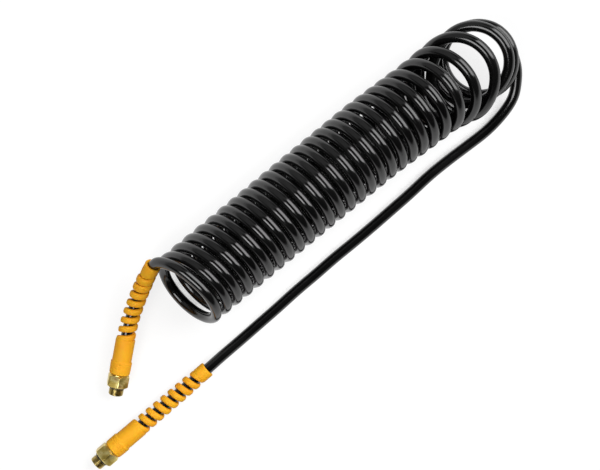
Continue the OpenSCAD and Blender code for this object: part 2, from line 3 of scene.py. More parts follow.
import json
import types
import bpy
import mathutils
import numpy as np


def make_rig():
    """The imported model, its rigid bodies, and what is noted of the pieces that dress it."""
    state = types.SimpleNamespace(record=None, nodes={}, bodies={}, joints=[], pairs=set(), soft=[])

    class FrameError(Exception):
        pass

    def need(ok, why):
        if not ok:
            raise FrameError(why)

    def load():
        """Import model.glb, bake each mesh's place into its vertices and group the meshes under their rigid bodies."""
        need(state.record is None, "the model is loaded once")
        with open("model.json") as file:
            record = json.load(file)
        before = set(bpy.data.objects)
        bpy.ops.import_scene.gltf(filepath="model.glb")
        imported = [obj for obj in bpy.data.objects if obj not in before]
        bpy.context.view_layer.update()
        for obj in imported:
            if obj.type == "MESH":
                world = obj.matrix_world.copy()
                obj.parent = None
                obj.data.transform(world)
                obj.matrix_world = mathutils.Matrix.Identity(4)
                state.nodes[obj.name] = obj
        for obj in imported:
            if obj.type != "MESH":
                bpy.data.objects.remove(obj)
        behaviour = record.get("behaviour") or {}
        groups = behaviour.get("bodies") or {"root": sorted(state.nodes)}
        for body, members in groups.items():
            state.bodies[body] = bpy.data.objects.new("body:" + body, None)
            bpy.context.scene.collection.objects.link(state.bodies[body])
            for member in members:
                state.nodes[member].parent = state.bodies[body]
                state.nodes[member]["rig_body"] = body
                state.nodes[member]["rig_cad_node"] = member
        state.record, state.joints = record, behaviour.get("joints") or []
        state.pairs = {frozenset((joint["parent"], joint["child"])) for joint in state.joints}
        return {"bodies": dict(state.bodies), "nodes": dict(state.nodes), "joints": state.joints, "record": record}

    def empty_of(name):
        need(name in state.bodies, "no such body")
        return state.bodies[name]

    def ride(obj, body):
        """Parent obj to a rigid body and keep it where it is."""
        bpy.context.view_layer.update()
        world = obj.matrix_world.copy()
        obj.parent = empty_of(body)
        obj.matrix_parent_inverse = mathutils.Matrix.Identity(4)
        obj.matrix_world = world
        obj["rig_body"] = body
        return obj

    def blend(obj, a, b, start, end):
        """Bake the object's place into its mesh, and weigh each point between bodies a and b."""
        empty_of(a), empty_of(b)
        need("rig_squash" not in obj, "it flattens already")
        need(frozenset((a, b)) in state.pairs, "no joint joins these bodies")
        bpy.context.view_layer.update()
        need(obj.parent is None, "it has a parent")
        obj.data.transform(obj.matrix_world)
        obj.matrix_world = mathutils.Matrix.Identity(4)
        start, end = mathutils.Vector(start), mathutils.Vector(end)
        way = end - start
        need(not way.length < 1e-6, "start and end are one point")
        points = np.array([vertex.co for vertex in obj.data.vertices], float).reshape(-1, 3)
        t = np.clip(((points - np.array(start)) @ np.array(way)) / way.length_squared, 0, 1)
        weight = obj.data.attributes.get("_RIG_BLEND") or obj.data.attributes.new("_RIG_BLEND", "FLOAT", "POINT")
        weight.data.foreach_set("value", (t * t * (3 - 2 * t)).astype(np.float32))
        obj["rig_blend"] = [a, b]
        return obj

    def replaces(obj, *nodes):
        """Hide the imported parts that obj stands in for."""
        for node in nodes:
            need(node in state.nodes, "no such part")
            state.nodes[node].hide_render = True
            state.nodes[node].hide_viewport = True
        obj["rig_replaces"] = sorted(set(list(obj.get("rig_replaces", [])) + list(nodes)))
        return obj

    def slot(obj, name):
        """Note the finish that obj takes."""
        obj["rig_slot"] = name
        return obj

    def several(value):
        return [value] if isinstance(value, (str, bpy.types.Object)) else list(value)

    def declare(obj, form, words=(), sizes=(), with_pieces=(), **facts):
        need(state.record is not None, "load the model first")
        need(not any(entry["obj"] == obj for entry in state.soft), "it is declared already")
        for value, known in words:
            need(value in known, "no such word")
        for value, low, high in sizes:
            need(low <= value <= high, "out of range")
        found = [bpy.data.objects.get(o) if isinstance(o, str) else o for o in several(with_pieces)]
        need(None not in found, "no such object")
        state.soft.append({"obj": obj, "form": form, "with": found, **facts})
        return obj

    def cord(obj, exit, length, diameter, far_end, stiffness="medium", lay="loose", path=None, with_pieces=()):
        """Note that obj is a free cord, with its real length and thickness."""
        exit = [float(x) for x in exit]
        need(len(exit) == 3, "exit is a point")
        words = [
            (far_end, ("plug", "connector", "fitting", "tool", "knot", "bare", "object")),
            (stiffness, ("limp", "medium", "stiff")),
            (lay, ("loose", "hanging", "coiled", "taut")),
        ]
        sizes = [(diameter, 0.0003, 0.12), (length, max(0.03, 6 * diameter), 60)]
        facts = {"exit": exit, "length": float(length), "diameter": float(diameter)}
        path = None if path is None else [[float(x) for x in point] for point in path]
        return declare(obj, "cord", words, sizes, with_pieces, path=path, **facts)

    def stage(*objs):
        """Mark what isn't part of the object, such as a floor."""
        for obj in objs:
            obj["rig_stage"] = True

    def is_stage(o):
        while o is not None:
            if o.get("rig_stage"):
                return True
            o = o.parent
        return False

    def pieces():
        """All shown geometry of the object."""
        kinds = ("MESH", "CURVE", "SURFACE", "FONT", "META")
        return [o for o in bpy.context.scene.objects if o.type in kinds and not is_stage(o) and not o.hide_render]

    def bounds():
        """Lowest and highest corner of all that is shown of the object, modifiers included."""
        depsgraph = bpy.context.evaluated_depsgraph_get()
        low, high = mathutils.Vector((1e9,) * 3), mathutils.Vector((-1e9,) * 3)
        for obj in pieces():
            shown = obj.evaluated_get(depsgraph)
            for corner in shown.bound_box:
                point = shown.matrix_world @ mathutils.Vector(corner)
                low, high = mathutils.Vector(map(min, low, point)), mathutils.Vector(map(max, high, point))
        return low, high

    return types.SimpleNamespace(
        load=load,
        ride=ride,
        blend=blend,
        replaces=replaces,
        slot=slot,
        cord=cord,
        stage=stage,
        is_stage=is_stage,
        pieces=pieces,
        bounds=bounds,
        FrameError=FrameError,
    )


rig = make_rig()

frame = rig.load()

import json
import logging
import math
from dataclasses import dataclass, field
from enum import Enum
from typing import Protocol, Sequence

import bmesh
import bpy
import numpy as np
from mathutils import Matrix, Vector

cad_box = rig.bounds()
log = logging.getLogger("coiled_air_hose")

MM = 0.001
REST_MIDDLE = np.array([167.4, -22.7, 0.0])  # middle of the hose's outline at rest, in millimetres
HOSE_R = 6.0
BORE_R = 4.5
WHITE = (1, 1, 1, 1)
Socket = bpy.types.NodeSocket
Material = bpy.types.Material
Piece = bpy.types.Object


class Body(Enum):
    """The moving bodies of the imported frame."""

    COIL = "coil"
    FRONT_END = "front_end"
    FRONT_STUD = "front_stud"
    REAR_STUD = "rear_stud"


def placed(points: np.ndarray) -> np.ndarray:
    """Carries points, one a row, from the drawing's frame in millimetres to the row frame in metres."""
    return (np.asarray(points, float) - REST_MIDDLE) * MM


def units(vectors: np.ndarray) -> np.ndarray:
    """Scales each vector, one a row, to length 1."""
    return vectors / np.linalg.norm(vectors, axis=-1, keepdims=True)


# ---- Curves


class Route:
    """Smooth curve through given points, measured by the length run along it."""

    def __init__(self, points: Sequence[Sequence[float]]) -> None:
        """Works out the curve's knots.

        Args:
            points: Points that the curve passes, in millimetres.
        """
        self.points = np.asarray(points, float)
        steps = np.linalg.norm(np.diff(self.points, axis=0), axis=1)
        self.runs = np.concatenate([[0.0], np.cumsum(steps)])
        chords = np.diff(self.points, axis=0) / steps[:, None]
        before, after = steps[:-1, None], steps[1:, None]
        inner = (chords[:-1] * after + chords[1:] * before) / (before + after)
        self.slopes = np.vstack([chords[:1], inner, chords[-1:]])

    def at(self, run: np.ndarray) -> np.ndarray:
        """Gives the curve's points at some lengths along it.

        Args:
            run: Lengths from the first point, in millimetres.

        Returns:
            One point a row.
        """
        run = np.atleast_1d(np.asarray(run, float))
        i = np.clip(np.searchsorted(self.runs, run, side="right") - 1, 0, len(self.runs) - 2)
        step = (self.runs[i + 1] - self.runs[i])[:, None]
        u = (run - self.runs[i])[:, None] / step
        return (
            self.points[i] * (1 + 2 * u) * (1 - u) ** 2
            + self.slopes[i] * step * u * (1 - u) ** 2
            + self.points[i + 1] * (3 - 2 * u) * u**2
            + self.slopes[i + 1] * step * (u - 1) * u**2
        )

    def way(self, run: np.ndarray) -> np.ndarray:
        """Gives the curve's directions at some lengths along it."""
        run = np.atleast_1d(np.asarray(run, float))
        return units(self.at(run + 1) - self.at(run - 1))


# The last turns, fallen over on one another: along from turn 24, across and up, in millimetres.
LOOSE_TURNS = (
    (-24.6, -25.9, 13.9), (-26.7, -11.6, 10.2), (-24.7, 3.7, 9.9), (-19.2, 17.9, 15), (-11.3, 29.3, 24.9),
    (-1.9, 35.9, 37.9), (8.3, 36.4, 51.9), (17.9, 30.4, 64.6), (25.6, 18.7, 74), (29.9, 3.3, 78.3),
    (30.4, -13.3, 76.6), (26.9, -28.4, 68.9), (19.9, -39.6, 56.6), (10.6, -45.6, 42), (0.7, -45.6, 27.3),
    (-7.9, -39.4, 15.2), (-13.5, -28.1, 7.4), (-15, -13.5, 4.9), (-12.2, 2.4, 6.1), (-5.8, 17.1, 12.6),
    (3, 28.6, 23.7), (13.7, 35.5, 37.1), (26.1, 36.7, 50.2), (39.1, 32.5, 61.1), (50.3, 22.6, 68.6),
    (57.5, 8.2, 71.8), (59.5, -8.4, 70.4), (56, -24.4, 64.2), (47.7, -37.4, 54.1), (36.4, -46, 41.6),
    (24.6, -50, 28.2), (14.1, -48.2, 16.2), (5.7, -40.5, 8), (-0.1, -28.5, 5.1), (-2.4, -13.8, 7.6),
    (-0.5, 1.4, 14.9), (8.3, 15.4, 23.8), (22.4, 26.6, 33.1), (38.7, 33.3, 42.2), (54.8, 32.9, 50.4),
    (68.6, 25.7, 57), (78.3, 12.8, 60.9), (82.3, -3.3, 61.3), (80.1, -19.3, 57.6), (71.9, -32.4, 50.5),
    (58.7, -40.8, 40.6), (43, -43.6, 29.2), (28.3, -40.6, 18.3), (17.4, -31.9, 9.8), (11.3, -18.6, 5.2),
    (9.3, -2.5, 5.2), (11.7, 13, 9.3), (19.7, 25.1, 16.2), (32.7, 32.2, 24.3), (48.4, 34.1, 32.6),
    (64.3, 30.7, 40.2), (77.8, 22.4, 46.2), (86.7, 9.5, 49.5), (89.6, -6.1, 49.5), (86.4, -21.8, 45.8),
    (78.1, -34.8, 38.7), (66.5, -42.7, 29), (53.4, -44.2, 18.8), (40.7, -39.3, 10.4), (30.1, -28.9, 5.7),
    (23.7, -15, 5.1), (22.7, 0.4, 5.5), (26.8, 15, 7.4), (35.6, 26.4, 11.6), (47.6, 32.7, 17.5),
    (61, 32.6, 24.3), (73.7, 26.6, 30.4), (83.5, 15.7, 34.5), (88.8, 1.5, 35.7), (89.5, -14.1, 33.6),
    (86.5, -29.2, 29.1), (80.8, -42.1, 23.9), (72.2, -51.9, 18.8),
)


@dataclass(frozen=True)
class CoilShape:
    """The wound part of the hose: right-handed turns, evenly leaning, then the loose ones at the rear.

    A turn counts from the +Y side, over the top, down the -Y side and along the floor. Each table holds
    pairs of turn and millimetres. The floor tables move the lower half of each turn along the coil, to lie
    under the gaps between the tops, and are 0 at both ends.
    """

    radius: float = 40.0
    axis_height: float = 44.8
    front: float = 40.5
    hose_od: float = 2 * HOSE_R
    rings_per_turn: int = 16
    first_ring: int = 3
    last_ring: int = 377
    loose_from: int = 24
    turn_gaps: tuple = ((0, 3.3), (6, 2.2), (12, 2.1), (18, 1.8), (22, 4.7))
    side_lean: tuple = ((0, 5), (6, 2), (12, 0.5), (22, -1.5), (24, -3))
    top_lean: tuple = ((0, 20), (6, 12), (12, 10.5), (18, 12.5), (22, 15), (24, 22.5))
    floor_shift: tuple = (
        (2, 0), (3, -5.5), (4, -7.5), (6, -11.9), (9, -10.9), (12, -10), (14, -8), (16, -5), (18, -1.9),
        (19.5, 2.1), (21, 1.1), (22.4, -0.1), (23.4, 0),
    )
    floor_slant: tuple = ((2, 0), (4, 2.3), (12, 5.1), (19, 4.6), (21, -0.4), (23.4, 0))
    floor_flank: tuple = ((2, 0), (4, 6.6), (12, 6.1), (19, 6), (21, -5.3), (23.4, 0))
    drift: tuple = ((0, -1), (12, 0), (18, 0), (24, -3.6))
    easing: float = 0.12

    def eased(self, table: tuple, turn: np.ndarray) -> np.ndarray:
        """Reads a table of (turn, value), with its corners rounded off.

        Args:
            table: The table's pairs.
            turn: Turns at which it is read.

        Returns:
            The value at each turn.
        """
        keys, values = zip(*table)
        spread = np.linspace(-self.easing, self.easing, 7)
        return np.mean([np.interp(turn + e, keys, values) for e in spread], axis=0)

    def advance(self, turn: np.ndarray) -> np.ndarray:
        """Gives how far along the coil's axis each turn has come.

        Args:
            turn: Turns since the coil's front.

        Returns:
            The distance at each turn, in millimetres.
        """
        total = np.full(np.shape(turn), self.front)
        ends = [key for key, _ in self.turn_gaps[1:]] + [math.inf]
        for (start, gap), end in zip(self.turn_gaps, ends):
            total = total + (self.hose_od + gap) * np.clip(np.minimum(turn, end) - start, 0, None)
        return total

    def wound(self, turn: np.ndarray) -> np.ndarray:
        """Gives the middle of the hose at some of the evenly wound turns.

        Args:
            turn: Turns since the coil's front.

        Returns:
            One point a row, in millimetres.
        """
        across, up = np.cos(2 * np.pi * turn), np.sin(2 * np.pi * turn)
        lean = self.eased(self.top_lean, turn) * up - self.eased(self.side_lean, turn) * across
        low = np.minimum(up, 0) ** 2
        lean = lean + (self.eased(self.floor_shift, turn) - self.eased(self.floor_slant, turn) * across) * low
        lean = lean + self.eased(self.floor_flank, turn) * (low**2 - low)
        sideways = self.eased(self.drift, turn) + self.radius * across
        return np.stack([self.advance(turn) + lean, sideways, self.axis_height + self.radius * up], -1)

    def rings(self) -> np.ndarray:
        """Gives the middle of the hose ring by ring, with both ends run out straight for one hose width.

        Returns:
            One point a row, in millimetres.
        """
        turns = (np.arange(self.first_ring, self.last_ring + 1) + 0.5) / self.rings_per_turn
        loose = np.array(LOOSE_TURNS) + [float(self.advance(np.array(self.loose_from))), 0, 0]
        middle = np.vstack([self.wound(turns), loose])
        ends = [a + self.hose_od * units(a - b) for a, b in (middle[:2], middle[:-3:-1])]
        return np.vstack([ends[:1], middle, ends[1:]])


# ---- Meshes


def linked(name: str, data: bpy.types.ID) -> Piece:
    """Makes an object and puts it in the scene.

    Args:
        name: Its name.
        data: Its mesh, lamp or camera.

    Returns:
        The object.
    """
    made = bpy.data.objects.new(name, data)
    bpy.context.scene.collection.objects.link(made)
    return made


@dataclass
class Skin:
    """A mesh under construction, in millimetres of the drawing's frame."""

    points: list = field(default_factory=list)
    faces: list = field(default_factory=list)
    count: int = 0

    def grid(self, rings: np.ndarray, closed: bool = True) -> int:
        """Adds rows of points joined by four-sided faces.

        Args:
            rings: Array of rows, points in a row, and three coordinates.
            closed: True where each row's last point joins its first.

        Returns:
            The number of the first point added.
        """
        rows, sides, _ = rings.shape
        base = self.count
        self.points.append(rings.reshape(-1, 3))
        self.count += rows * sides
        i = np.arange(rows - 1)[:, None] * sides
        k = np.arange(sides if closed else sides - 1)[None]
        a, b = base + i + k, base + i + (k + 1) % sides
        self.faces.extend(np.stack([a, b, b + sides, a + sides], -1).reshape(-1, 4).tolist())
        return base

    def lid(self, first: int, sides: int, flip: bool) -> None:
        """Closes the ring that starts at point first with one face, which faces back where flip is true."""
        ring = list(range(first, first + sides))
        self.faces.append(ring[::-1] if flip else ring)

    def piece(self, name: str, finish: Material, corner: float, merge: float = 0.0) -> Piece:
        """Makes the object.

        Args:
            name: The piece's name.
            finish: Its material.
            corner: Edges sharper than this many degrees stay sharp.
            merge: Points closer than this many millimetres become one.

        Returns:
            The new object, in the row frame.
        """
        mesh = bpy.data.meshes.new(name)
        mesh.from_pydata(placed(np.vstack(self.points)).tolist(), [], self.faces)
        if merge:
            shape = bmesh.new()
            shape.from_mesh(mesh)
            bmesh.ops.remove_doubles(shape, verts=shape.verts, dist=merge * MM)
            bmesh.ops.dissolve_degenerate(shape, edges=shape.edges, dist=merge * MM)
            shape.to_mesh(mesh)
            shape.free()
        mesh.polygons.foreach_set("use_smooth", [True] * len(mesh.polygons))
        mesh.set_sharp_from_angle(angle=math.radians(corner))
        mesh.materials.append(finish)
        mesh.update()
        return linked(name, mesh)


@dataclass(frozen=True)
class Fitting:
    """Where a fitting lies: +Z of its axis frame points towards the thread, 0 where the hexagon starts."""

    place: tuple[float, float, float]
    bearing: float
    dip: float

    def axes(self) -> np.ndarray:
        """Gives the axis frame's directions.

        Returns:
            X, Y and Z of the axis frame, one a row.
        """
        b, d = math.radians(self.bearing), math.radians(self.dip)
        z = np.array([math.cos(d) * math.cos(b), math.cos(d) * math.sin(b), -math.sin(d)])
        y = np.array([-math.sin(b), math.cos(b), 0.0])
        return np.stack([np.cross(y, z), y, z])

    def carry(self, local: np.ndarray) -> np.ndarray:
        """Carries points from the axis frame to the drawing's frame."""
        return np.asarray(self.place) + local @ self.axes()

    def straight(self, lengths: Sequence[float]) -> list:
        """Gives points on the axis behind the hexagon, at some lengths from it."""
        return [(np.asarray(self.place) - s * self.axes()[2]).tolist() for s in lengths]


def turned(profile: Sequence[Sequence[float]], sides: int = 72) -> np.ndarray:
    """Turns a profile about the Z axis.

    Args:
        profile: Pairs of radius and height, in order.
        sides: Points round each ring.

    Returns:
        One ring for each pair.
    """
    angle = np.arange(sides) * 2 * np.pi / sides
    ring = np.stack([np.cos(angle), np.sin(angle)], -1)
    return np.array([[[r * x, r * y, z] for x, y in ring] for r, z in profile])


def arc(radius: float, height: float, wide: float, high: float, degrees: range) -> list[tuple[float, float]]:
    """Rounds a corner of a section, from 0 (below its centre) through 90 (outwards) to 180 (above it).

    Args:
        radius: The centre's distance from the axis.
        height: The centre's height.
        wide: How far the corner reaches outwards.
        high: How far it reaches up and down.
        degrees: Angles of its points.

    Returns:
        Pairs of radius and height.
    """
    return [(radius + wide * math.sin(a), height - high * math.cos(a)) for a in np.radians(degrees)]


def eased_step(share: np.ndarray) -> np.ndarray:
    """Rises smoothly from 0 to 1 as share does."""
    share = np.clip(share, 0, 1)
    return share * share * (3 - 2 * share)


# ---- Finishes


class NodeTree:
    """Short calls for building one material's nodes."""

    def __init__(self, name: str, world: bool = False) -> None:
        """Starts a material, or the world, with its main shader.

        Args:
            name: The material's name.
            world: True for the world.
        """
        self.material = (bpy.data.worlds if world else bpy.data.materials).new(name)
        self.material.use_nodes = True
        self.nodes = self.material.node_tree.nodes
        self.links = self.material.node_tree.links
        self.shader = self.nodes["Background" if world else "Principled BSDF"]

    def feed(self, node: bpy.types.Node, key: str | int, value: object) -> None:
        """Joins a socket to a node's input, or sets the input's plain value.

        Args:
            node: The node.
            key: The input's name or number.
            value: The socket or the plain value.
        """
        if isinstance(value, Socket):
            self.links.new(value, node.inputs[key])
        else:
            node.inputs[key].default_value = value

    def add(self, kind: str, inputs: dict | None = None, **settings: object) -> bpy.types.Node:
        """Adds a node.

        Args:
            kind: The node's type.
            inputs: Values or sockets for its inputs, by name or number.
            settings: Properties of the node.

        Returns:
            The node.
        """
        node = self.nodes.new(kind)
        for key, value in settings.items():
            setattr(node, key, value)
        for key, value in (inputs or {}).items():
            self.feed(node, key, value)
        return node

    def noise(self, vector: Socket, scale: float, detail: float = 2.0) -> Socket:
        """Adds a noise texture and returns its value."""
        inputs = {"Vector": vector, "Scale": scale, "Detail": detail}
        return self.add("ShaderNodeTexNoise", inputs).outputs["Fac"]

    def stretched(self, vector: Socket, scale: tuple) -> Socket:
        """Scales a coordinate along its three axes."""
        return self.add("ShaderNodeMapping", {"Vector": vector, "Scale": scale}).outputs["Vector"]

    def ramp(self, value: Socket, stops: Sequence[tuple]) -> Socket:
        """Maps a value through colour stops.

        Args:
            value: The value read.
            stops: Pairs of place and colour; a single number is a grey.

        Returns:
            The colour socket.
        """
        node = self.add("ShaderNodeValToRGB", {"Fac": value})
        ramp = node.color_ramp
        while len(ramp.elements) < len(stops):
            ramp.elements.new(0.5)
        for element, (place, colour) in zip(ramp.elements, stops):
            element.position = place
            element.color = (*colour, 1) if isinstance(colour, tuple) else (colour, colour, colour, 1)
        return node.outputs["Color"]

    def span(self, value: Socket, low: float, high: float, start: float = 0.3, end: float = 0.7) -> Socket:
        """Maps start to end, which is the middle of a noise's reach unless given, to low to high."""
        inputs = {"Value": value, "From Min": start, "From Max": end, "To Min": low, "To Max": high}
        return self.add("ShaderNodeMapRange", inputs).outputs["Result"]

    def bump(self, height: Socket, relief: tuple[float, float], under: Socket | None = None) -> Socket:
        """Adds a bump, over another one if given.

        Args:
            height: The height read.
            relief: Share of the bump that shows, and its depth in millimetres.
            under: Normal of the bump that it lies on.

        Returns:
            The normal socket.
        """
        strength, depth = relief
        inputs = {"Height": height, "Strength": strength, "Distance": depth * MM}
        if under is not None:
            inputs["Normal"] = under
        return self.add("ShaderNodeBump", inputs).outputs["Normal"]

    def calc(self, operation: str, *values: object) -> Socket:
        """Works one value out of others."""
        return self.add("ShaderNodeMath", dict(enumerate(values)), operation=operation).outputs[0]

    def own_place(self) -> Socket:
        """Gives the object's own coordinates."""
        return self.add("ShaderNodeTexCoord").outputs["Object"]

    def finish(self, **values: object) -> Material:
        """Feeds the main shader.

        Args:
            values: Sockets or plain values for its inputs, with _ for a space.

        Returns:
            The finished material.
        """
        for key, value in values.items():
            self.feed(self.shader, key.replace("_", " "), value)
        return self.material


class Finish(Protocol):
    """Anything that can make a material."""

    def build(self) -> Material:
        """Makes the material."""


@dataclass(frozen=True)
class GlossyPolyamide:
    """Black extruded polyamide: glossy, with faint drawing lines along the hose."""

    dark: float = 0.0015
    light: float = 0.004
    smooth: float = 0.12
    dull: float = 0.19
    streak_scale: tuple = (900, 900, 14)
    patch_scale: tuple = (60, 60, 22)
    wave_scale: tuple = (45, 45, 30)
    speck_scale: float = 2600
    wave: tuple = (0.35, 0.25)
    drawing: tuple = (0.25, 0.02)
    speck: tuple = (0.12, 0.01)

    def build(self) -> Material:
        """Makes the hose's material, which reads the unrolled hose's coordinates.

        Returns:
            The material.
        """
        t = NodeTree("glossy_black_polyamide")
        along = t.add("ShaderNodeAttribute", attribute_name="unrolled").outputs["Vector"]
        streaks = t.noise(t.stretched(along, self.streak_scale), 1.0, 3.0)
        patches = t.noise(t.stretched(along, self.patch_scale), 1.0, 3.0)
        specks = t.noise(along, self.speck_scale)
        shade = t.ramp(patches, [(0.3, self.dark), (0.75, self.light)])
        wave = t.bump(t.noise(t.stretched(along, self.wave_scale), 1.0, 1.0), self.wave)
        grain = t.bump(specks, self.speck, t.bump(streaks, self.drawing, wave))
        gloss = t.span(patches, self.smooth, self.dull)
        return t.finish(Base_Color=shade, Roughness=gloss, Normal=grain, IOR=1.58)


@dataclass(frozen=True)
class MouldedElastomer:
    """Yellow-orange moulded guard: matte, with a fine spark-eroded grain."""

    colour: tuple = (0.97, 0.46, 0.012)
    warm: tuple = (0.96, 0.405, 0.008)
    smooth: float = 0.56
    dull: float = 0.68
    cloud_scale: float = 70
    grain_scale: float = 3200
    rolling_scale: float = 240
    grain: tuple = (0.22, 0.03)
    rolling: tuple = (0.2, 0.08)

    def build(self) -> Material:
        """Makes the flex guards' material.

        Returns:
            The material.
        """
        t = NodeTree("moulded_yellow_elastomer")
        own = t.own_place()
        clouds = t.noise(own, self.cloud_scale, 3.0)
        shade = t.ramp(clouds, [(0.3, self.warm), (0.62, self.colour)])
        grain = t.bump(t.noise(own, self.grain_scale), self.grain)
        rolling = t.bump(t.noise(own, self.rolling_scale), self.rolling, grain)
        gloss = t.span(clouds, self.smooth, self.dull)
        glow = {"IOR": 1.38, "Subsurface_Weight": 0.12, "Subsurface_Scale": 0.0015}
        return t.finish(Base_Color=shade, Roughness=gloss, Normal=rolling, **glow)


@dataclass(frozen=True)
class YellowPlating:
    """Yellow-passivated zinc on steel: metallic, clouded from olive to gold and rose."""

    olive: tuple = (0.40, 0.29, 0.06)
    gold: tuple = (0.62, 0.46, 0.12)
    pale: tuple = (0.86, 0.74, 0.30)
    rose: tuple = (0.56, 0.27, 0.08)
    name: str = "yellow_passivated_zinc"
    smooth: float = 0.27
    dull: float = 0.33
    cloud_scale: float = 95
    gloss_scale: float = 300
    cut_scale: tuple = (900, 900, 2400)
    cut: tuple = (0.012, 0.003)

    def build(self) -> Material:
        """Makes the studs' material.

        Returns:
            The material.
        """
        t = NodeTree(self.name)
        own = t.own_place()
        clouds = t.noise(own, self.cloud_scale)
        shade = t.ramp(clouds, [(0.3, self.olive), (0.45, self.gold), (0.58, self.pale), (0.72, self.rose)])
        cut = t.noise(t.stretched(own, self.cut_scale), 1.0, 1.0)
        gloss = t.span(t.noise(own, self.gloss_scale), self.smooth, self.dull)
        return t.finish(Base_Color=shade, Roughness=gloss, Normal=t.bump(cut, self.cut), Metallic=1.0)


@dataclass(frozen=True)
class SmallMoulding:
    """Dull rubber or plastic of the seals and washers, with a fine moulded grain."""

    name: str
    low: float | tuple
    high: float | tuple
    smooth: float
    dull: float
    cloud_scale: float
    grain_scale: float
    grain: tuple

    def build(self) -> Material:
        """Makes the material of one kind of small moulding.

        Returns:
            The material.
        """
        t = NodeTree(self.name)
        own = t.own_place()
        clouds = t.noise(own, self.cloud_scale, 3.0)
        grain = t.bump(t.noise(own, self.grain_scale), self.grain)
        shade = t.ramp(clouds, [(0.3, self.low), (0.7, self.high)])
        return t.finish(Base_Color=shade, Roughness=t.span(clouds, self.smooth, self.dull), Normal=grain)


@dataclass(frozen=True)
class TurnedMetal:
    """Plain machined metal, with turning lines round the axis."""

    name: str
    low: tuple
    high: tuple
    smooth: float = 0.22
    dull: float = 0.4
    cloud_scale: float = 300
    line_scale: tuple = (4200, 900, 900)
    line: tuple = (0.2, 0.02)

    def build(self) -> Material:
        """Makes the material of one of the inner metal pieces.

        Returns:
            The material.
        """
        t = NodeTree(self.name)
        own = t.own_place()
        clouds = t.noise(own, self.cloud_scale, 3.0)
        lines = t.bump(t.noise(t.stretched(own, self.line_scale), 1.0), self.line)
        shade = t.ramp(clouds, [(0.3, self.low), (0.7, self.high)])
        gloss = t.span(clouds, self.smooth, self.dull)
        return t.finish(Base_Color=shade, Roughness=gloss, Normal=lines, Metallic=1.0)


# ---- Stage


@dataclass(frozen=True)
class Viewpoint:
    """The camera: straight above the hose, turned so that the coil climbs to the right."""

    place: tuple[float, float, float] = (0.0111, -0.0081, 1.545)
    turn: float = -39.1
    lens: float = 84.5
    sensor: float = 36.0
    farthest: float = 40.0

    def build(self) -> None:
        """Makes the camera and gives it to the scene."""
        data = bpy.data.cameras.new("overhead_camera")
        data.lens = self.lens
        data.sensor_width = self.sensor
        data.sensor_fit = "HORIZONTAL"
        data.clip_end = self.farthest
        camera = linked("overhead_camera", data)
        camera.location = self.place
        camera.rotation_euler = (0, 0, math.radians(self.turn))
        bpy.context.scene.camera = camera


@dataclass(frozen=True)
class Softbox:
    """A soft lamp, placed by how far it leans from straight above towards +X and +Y, in degrees."""

    name: str
    lean_x: float
    lean_y: float
    half_x: float
    half_y: float
    radiance: float
    distance: float = 5.0

    def build(self) -> None:
        """Makes the lamp, facing the middle of the floor."""
        half_x, half_y, lean_x, lean_y = np.tan(np.radians([self.half_x, self.half_y, self.lean_x, self.lean_y]))
        data = bpy.data.lights.new(self.name, "AREA")
        data.shape = "RECTANGLE"
        data.size, data.size_y = 2 * self.distance * half_x, 2 * self.distance * half_y
        data.energy = self.radiance * math.pi * data.size * data.size_y
        lamp = linked(self.name, data)
        lamp.visible_camera = False
        toward = Vector((lean_x, lean_y, 1)).normalized()
        side = Vector((0, 1, 0)).cross(toward).normalized()
        turn = Matrix((side, toward.cross(side), toward)).transposed()
        lamp.matrix_world = Matrix.Translation(toward * self.distance) @ turn.to_4x4()


